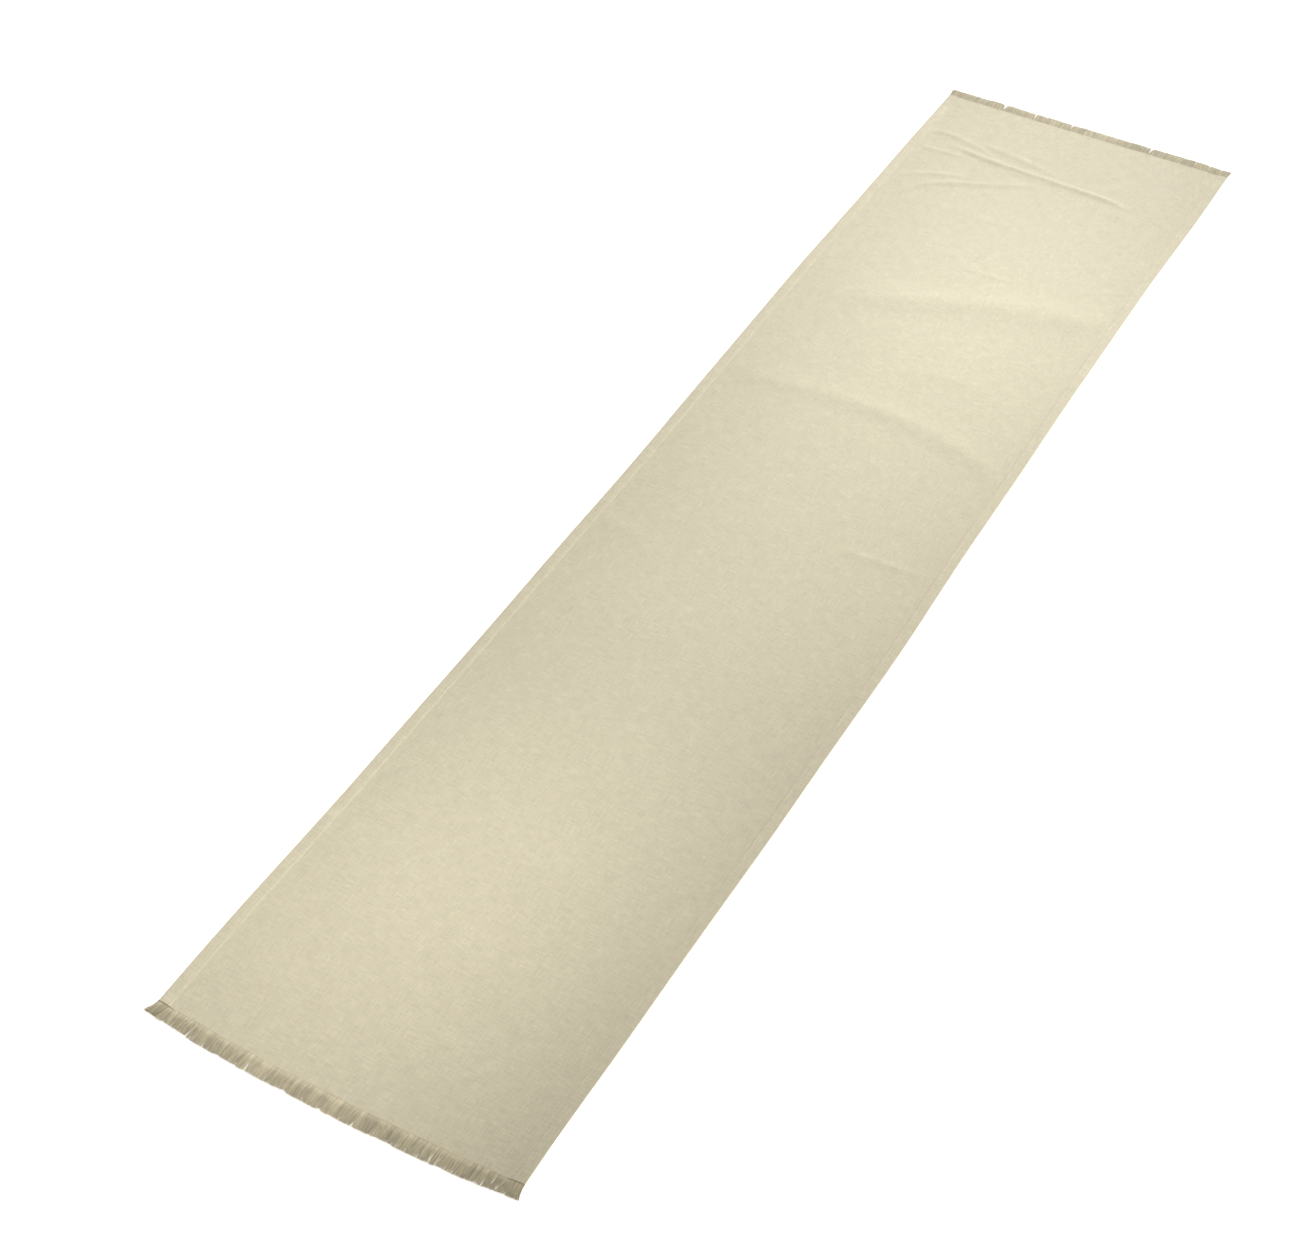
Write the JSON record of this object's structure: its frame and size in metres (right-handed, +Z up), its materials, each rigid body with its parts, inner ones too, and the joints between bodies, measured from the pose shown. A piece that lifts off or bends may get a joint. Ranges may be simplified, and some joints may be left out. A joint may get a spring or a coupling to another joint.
{
  "type": "table runner",
  "caption": "Long plain woven table runner, lying open, with stitched double-turned side hems and a short cut fringe at each end; folds in half across its middle.",
  "frame": {"origin": "middle of the runner's footprint, on the surface that it lies on", "axes": "+X along the runner from the near fringe to the far fringe, +Y across it to the left hem, +Z up through the face of the cloth"},
  "size_m": [1.8, 0.4, 0.0022],
  "materials": {
    "cloth": "plain weave of undyed flax and cotton yarns, soft and matt, slightly slubbed",
    "hem": "the same plain weave, turned twice and pressed",
    "sewing_thread": "spun sewing thread, low sheen",
    "fringe": "loose cut warp yarns, matt, with lighter filaments"
  },
  "bodies": {
    "near_half": {"near_cloth": "cloth", "near_hem_left": "hem", "near_hem_left_needle_thread": "sewing_thread", "near_hem_left_bobbin_thread": "sewing_thread", "near_hem_right": "hem", "near_hem_right_needle_thread": "sewing_thread", "near_hem_right_bobbin_thread": "sewing_thread", "near_end_needle_thread": "sewing_thread", "near_end_bobbin_thread": "sewing_thread", "near_fringe_tuft_01": "fringe", "near_fringe_tuft_02": "fringe", "near_fringe_tuft_03": "fringe", "near_fringe_tuft_04": "fringe", "near_fringe_tuft_05": "fringe", "near_fringe_tuft_06": "fringe", "near_fringe_tuft_07": "fringe", "near_fringe_tuft_08": "fringe", "near_fringe_tuft_09": "fringe", "near_fringe_tuft_10": "fringe", "near_fringe_tuft_11": "fringe", "near_fringe_tuft_12": "fringe", "near_fringe_tuft_13": "fringe"},
    "far_half": {"far_cloth": "cloth", "far_hem_left": "hem", "far_hem_left_needle_thread": "sewing_thread", "far_hem_left_bobbin_thread": "sewing_thread", "far_hem_right": "hem", "far_hem_right_needle_thread": "sewing_thread", "far_hem_right_bobbin_thread": "sewing_thread", "far_end_needle_thread": "sewing_thread", "far_end_bobbin_thread": "sewing_thread", "far_fringe_tuft_01": "fringe", "far_fringe_tuft_02": "fringe", "far_fringe_tuft_03": "fringe", "far_fringe_tuft_04": "fringe", "far_fringe_tuft_05": "fringe", "far_fringe_tuft_06": "fringe", "far_fringe_tuft_07": "fringe", "far_fringe_tuft_08": "fringe", "far_fringe_tuft_09": "fringe", "far_fringe_tuft_10": "fringe", "far_fringe_tuft_11": "fringe", "far_fringe_tuft_12": "fringe", "far_fringe_tuft_13": "fringe"}
  },
  "joints": [
    {"name": "half_fold", "type": "hinge", "parent": "near_half", "child": "far_half", "pos_m": [0, 0, 0.0032], "axis": [0, -1, 0], "range_deg": [0, 179.9]}
  ]
}
